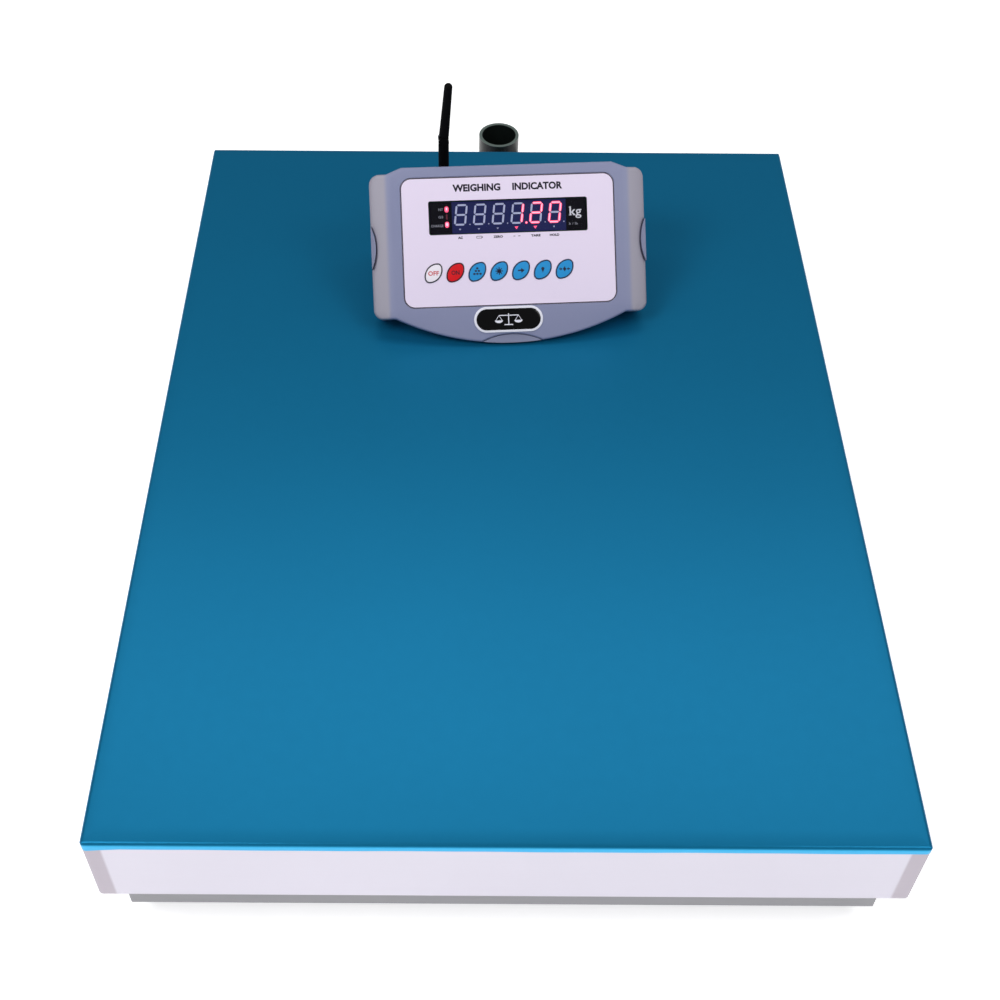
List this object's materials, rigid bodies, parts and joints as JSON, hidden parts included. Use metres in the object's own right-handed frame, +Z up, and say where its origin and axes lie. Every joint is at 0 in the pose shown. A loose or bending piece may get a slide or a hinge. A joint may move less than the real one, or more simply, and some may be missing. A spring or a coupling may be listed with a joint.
{
  "type": "pallet scale",
  "caption": "Low rectangular weighing platform with a lift-off sheet pan over a tube frame and load cell, a loose wedge-shaped indicator with keys and antenna, and a pole socket behind.",
  "frame": {"origin": "on the floor, under the middle of the whole scale's box, pole socket included", "axes": "+Y from the front of the pan to the pole socket behind, +Z up, +X to the right seen from the front"},
  "size_m": [0.6004, 0.8496, 0.325],
  "materials": {
    "stainless_sheet": "brushed, mill sheen",
    "blue_film": "clear blue peel-off film, satin gloss",
    "grey_paint": "satin grey powder coat",
    "black_paint": "semi-gloss black paint",
    "zinc_steel": "bright zinc plate",
    "cell_aluminium": "anodised, machined",
    "black_rubber": "moulded",
    "black_plastic": "moulded",
    "nylon_white": "turned",
    "level_glass": "clear tinted",
    "case_grey": "fine spark texture",
    "case_back_grey": "fine spark texture",
    "overlay_lilac": "printed polycarbonate, satin",
    "smoked_window": "tinted acrylic",
    "led_navy": "moulded LED block",
    "led_red": "lit LED",
    "circuit_green": "solder mask",
    "battery_case": "moulded ABS",
    "transformer_core": "varnished laminations",
    "radio_blue": "solder mask",
    "nickel": "satin nickel",
    "gold_plate": "gold flash",
    "badge_black": "domed label",
    "key_white": "printed polyester",
    "key_red": "printed polyester",
    "key_blue": "printed polyester",
    "antenna_rubber": "matte sleeve"
  },
  "bodies": {
    "base": {"load_cell": "cell_aluminium", "cell_bolts_lower": "zinc_steel", "lower_cell_beam": "grey_paint", "base_rail_front": "grey_paint", "base_rail_rear": "grey_paint", "base_rail_left": "grey_paint", "base_rail_right": "grey_paint", "foot_plates": "grey_paint", "locknuts": "zinc_steel", "overload_stops": "zinc_steel", "cable_gland": "black_plastic", "spirit_level": "black_plastic", "level_lens": "level_glass", "pole_socket": "black_paint", "socket_bracket": "black_paint"},
    "upper_frame": {"upper_rail_front": "grey_paint", "upper_rail_rear": "grey_paint", "upper_rail_left": "grey_paint", "upper_rail_right": "grey_paint", "upper_cell_beam": "grey_paint", "cell_bolts_upper": "zinc_steel", "pan_pads": "black_rubber"},
    "pan": {"pan": "stainless_sheet", "protective_film": "blue_film"},
    "indicator": {"front_housing": "case_grey", "rear_housing": "case_back_grey", "indicator_feet": "black_rubber", "overlay": "overlay_lilac", "display_window": "smoked_window", "led_digits": "led_navy", "status_leds": "led_red", "display_board": "circuit_green", "main_board": "circuit_green", "battery": "battery_case", "transformer": "transformer_core", "bluetooth_module": "radio_blue", "cell_socket": "nickel", "mains_inlet": "black_plastic", "indicator_screws": "zinc_steel", "badge": "badge_black", "antenna_jack": "gold_plate"},
    "antenna_sleeve": {"antenna_base": "antenna_rubber"},
    "antenna_mast": {"antenna_whip": "antenna_rubber"},
    "clamp_plug": {"clamp_tip": "nylon_white"},
    "clamp_handle": {"clamp_knob": "black_plastic"},
    "off_button": {"key_off": "key_white"},
    "on_button": {"key_on": "key_red"},
    "total_button": {"key_total": "key_blue"},
    "light_button": {"key_light": "key_blue"},
    "enter_button": {"key_enter": "key_blue"},
    "tare_button": {"key_tare": "key_blue"},
    "zero_button": {"key_zero": "key_blue"},
    "foot_fl": {"foot_pad_fl": "black_rubber"},
    "stud_fl": {"foot_stud_fl": "zinc_steel"},
    "foot_fr": {"foot_pad_fr": "black_rubber"},
    "stud_fr": {"foot_stud_fr": "zinc_steel"},
    "foot_rl": {"foot_pad_rl": "black_rubber"},
    "stud_rl": {"foot_stud_rl": "zinc_steel"},
    "foot_rr": {"foot_pad_rr": "black_rubber"},
    "stud_rr": {"foot_stud_rr": "zinc_steel"}
  },
  "joints": [
    {"name": "deck_deflection", "type": "slide", "parent": "base", "child": "upper_frame", "axis": [0, 0, 1], "range_m": [-0.0005, 0], "stiffness_N_per_m": 1500000, "springref_m": 0.00013, "deforming": ["load_cell"]},
    {"name": "pan_lift", "type": "slide", "parent": "upper_frame", "child": "pan", "axis": [0, 0, 1], "range_m": [0, 0.12]},
    {"name": "indicator_lift", "type": "slide", "parent": "pan", "child": "indicator", "axis": [0, 0, 1], "range_m": [0, 0.08]},
    {"name": "press_off", "type": "slide", "parent": "indicator", "child": "off_button", "axis": [-0.0432, 0.7058, -0.7071], "range_m": [0, 0.0004], "stiffness_N_per_m": 1500},
    {"name": "press_on", "type": "slide", "parent": "indicator", "child": "on_button", "axis": [-0.0432, 0.7058, -0.7071], "range_m": [0, 0.0004], "stiffness_N_per_m": 1500},
    {"name": "press_total", "type": "slide", "parent": "indicator", "child": "total_button", "axis": [-0.0432, 0.7058, -0.7071], "range_m": [0, 0.0004], "stiffness_N_per_m": 1500},
    {"name": "press_light", "type": "slide", "parent": "indicator", "child": "light_button", "axis": [-0.0432, 0.7058, -0.7071], "range_m": [0, 0.0004], "stiffness_N_per_m": 1500},
    {"name": "press_enter", "type": "slide", "parent": "indicator", "child": "enter_button", "axis": [-0.0432, 0.7058, -0.7071], "range_m": [0, 0.0004], "stiffness_N_per_m": 1500},
    {"name": "press_tare", "type": "slide", "parent": "indicator", "child": "tare_button", "axis": [-0.0432, 0.7058, -0.7071], "range_m": [0, 0.0004], "stiffness_N_per_m": 1500},
    {"name": "press_zero", "type": "slide", "parent": "indicator", "child": "zero_button", "axis": [-0.0432, 0.7058, -0.7071], "range_m": [0, 0.0004], "stiffness_N_per_m": 1500},
    {"name": "antenna_swivel", "type": "hinge", "parent": "indicator", "child": "antenna_sleeve", "pos_m": [-0.05247, 0.21679, 0.2282], "axis": [-0.061, 0.9981, 0], "range_deg": [-90, 90]},
    {"name": "antenna_fold", "type": "hinge", "parent": "antenna_sleeve", "child": "antenna_mast", "pos_m": [-0.05339, 0.23176, 0.2632], "axis": [-0.061, 0.9981, 0], "range_deg": [-4.7, 85.3]},
    {"name": "clamp_turn", "type": "hinge", "parent": "clamp_plug", "child": "clamp_handle", "pos_m": [0.0425, 0.40365, 0.094], "axis": [-1, 0, 0], "range_deg": [-1921, 601]},
    {"name": "clamp_travel", "type": "slide", "parent": "base", "child": "clamp_plug", "axis": [-1, 0, 0], "range_m": [-0.008, 0.0025]},
    {"name": "foot_travel_fl", "type": "slide", "parent": "base", "child": "foot_fl", "axis": [0, 0, 1], "range_m": [-0.012, 0.0025]},
    {"name": "foot_turn_fl", "type": "hinge", "parent": "foot_fl", "child": "stud_fl", "pos_m": [-0.213, -0.33765, 0.02], "axis": [0, 0, 1], "range_deg": [-2470, 515]},
    {"name": "foot_travel_fr", "type": "slide", "parent": "base", "child": "foot_fr", "axis": [0, 0, 1], "range_m": [-0.012, 0.0025]},
    {"name": "foot_turn_fr", "type": "hinge", "parent": "foot_fr", "child": "stud_fr", "pos_m": [0.213, -0.33765, 0.02], "axis": [0, 0, 1], "range_deg": [-2470, 515]},
    {"name": "foot_travel_rl", "type": "slide", "parent": "base", "child": "foot_rl", "axis": [0, 0, 1], "range_m": [-0.012, 0.0025]},
    {"name": "foot_turn_rl", "type": "hinge", "parent": "foot_rl", "child": "stud_rl", "pos_m": [-0.213, 0.28835, 0.02], "axis": [0, 0, 1], "range_deg": [-2470, 515]},
    {"name": "foot_travel_rr", "type": "slide", "parent": "base", "child": "foot_rr", "axis": [0, 0, 1], "range_m": [-0.012, 0.0025]},
    {"name": "foot_turn_rr", "type": "hinge", "parent": "foot_rr", "child": "stud_rr", "pos_m": [0.213, 0.28835, 0.02], "axis": [0, 0, 1], "range_deg": [-2470, 515]}
  ],
  "couplings": [
    {"joint": "clamp_turn", "follows": "clamp_travel", "rad_per_m": 4188.8},
    {"joint": "foot_turn_fl", "follows": "foot_travel_fl", "rad_per_m": 3590.4},
    {"joint": "foot_turn_fr", "follows": "foot_travel_fr", "rad_per_m": 3590.4},
    {"joint": "foot_turn_rl", "follows": "foot_travel_rl", "rad_per_m": 3590.4},
    {"joint": "foot_turn_rr", "follows": "foot_travel_rr", "rad_per_m": 3590.4}
  ]
}
